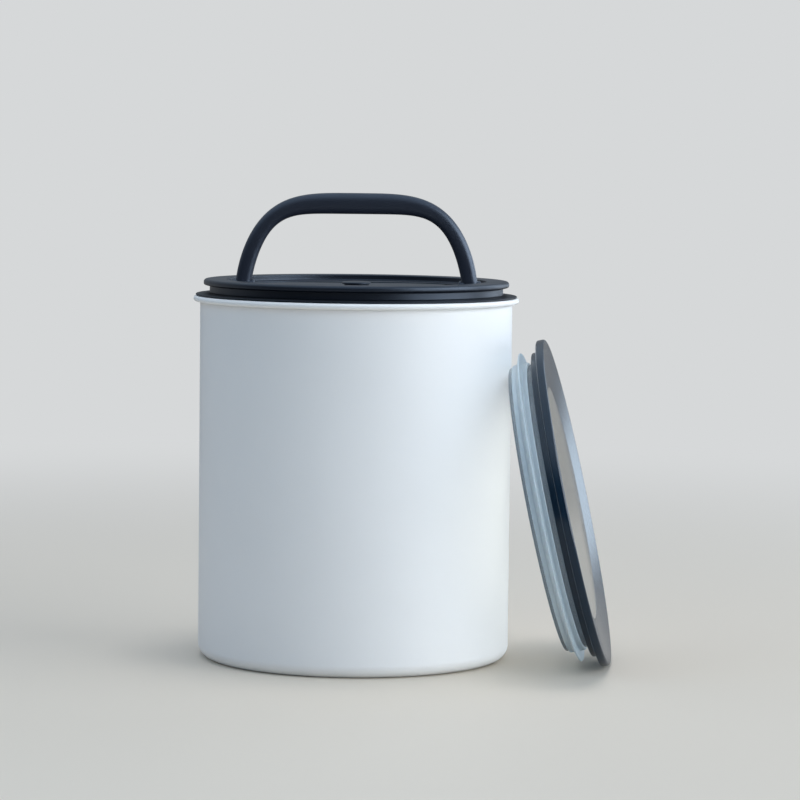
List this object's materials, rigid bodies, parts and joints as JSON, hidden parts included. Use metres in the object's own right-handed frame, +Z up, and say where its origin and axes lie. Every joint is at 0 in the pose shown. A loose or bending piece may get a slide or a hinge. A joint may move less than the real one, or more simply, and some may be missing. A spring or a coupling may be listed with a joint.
{
  "type": "coffee canister",
  "caption": "Round steel food canister with a press-down inner lid, air valve and folding handle, and a see-through outer lid leaning at its side.",
  "frame": {"origin": "centre of the canister's flat base, on its axis", "axes": "+Z up along the canister's axis; +Y to the back, where the handle folds; +X toward the leaning outer lid"},
  "size_m": [0.2317, 0.2053, 0.2544],
  "materials": {
    "powder_coated_steel": "matt white powder coat",
    "black_moulding": "satin black moulded",
    "handle_nylon": "fine satin black moulded",
    "seal_rubber": "matt soft moulded",
    "valve_silicone": "matt soft moulded",
    "stainless_steel": "bright drawn",
    "smoked_plastic": "polished, smoke tint",
    "window_plastic": "polished, light smoke tint",
    "gasket_silicone": "frosted soft moulded"
  },
  "bodies": {
    "canister": {"canister_shell": "powder_coated_steel"},
    "inner_lid": {"lid_top": "black_moulding", "lid_base": "black_moulding", "wiper_seal": "seal_rubber", "pivot_pin_left": "stainless_steel", "pivot_pin_right": "stainless_steel", "valve_seat": "black_moulding", "valve_spring": "stainless_steel"},
    "handle": {"handle": "handle_nylon"},
    "valve": {"valve_cap": "black_moulding", "valve_disc": "valve_silicone", "valve_clip": "stainless_steel"},
    "outer_lid": {"outer_lid_ring": "smoked_plastic", "outer_lid_window": "window_plastic", "outer_lid_collar": "smoked_plastic", "outer_lid_gasket": "gasket_silicone"}
  },
  "joints": [
    {"name": "inner_lid_slide", "type": "slide", "parent": "canister", "child": "inner_lid", "axis": [0, 0, 1], "range_m": [-0.185, 0.045], "deforming": ["wiper_seal"]},
    {"name": "handle_fold", "type": "hinge", "parent": "inner_lid", "child": "handle", "pos_m": [0, 0, 0.203], "axis": [-1, 0, 0], "range_deg": [0, 90]},
    {"name": "valve_lift", "type": "slide", "parent": "inner_lid", "child": "valve", "axis": [0, 0, 1], "range_m": [0, 0.0015], "stiffness_N_per_m": 120, "springref_m": -0.002, "deforming": ["valve_spring"]},
    {"name": "outer_lid_off", "type": "slide", "parent": "canister", "child": "outer_lid", "axis": [0.9702, -0.1088, 0.2164], "range_m": [0, 0.08]}
  ]
}
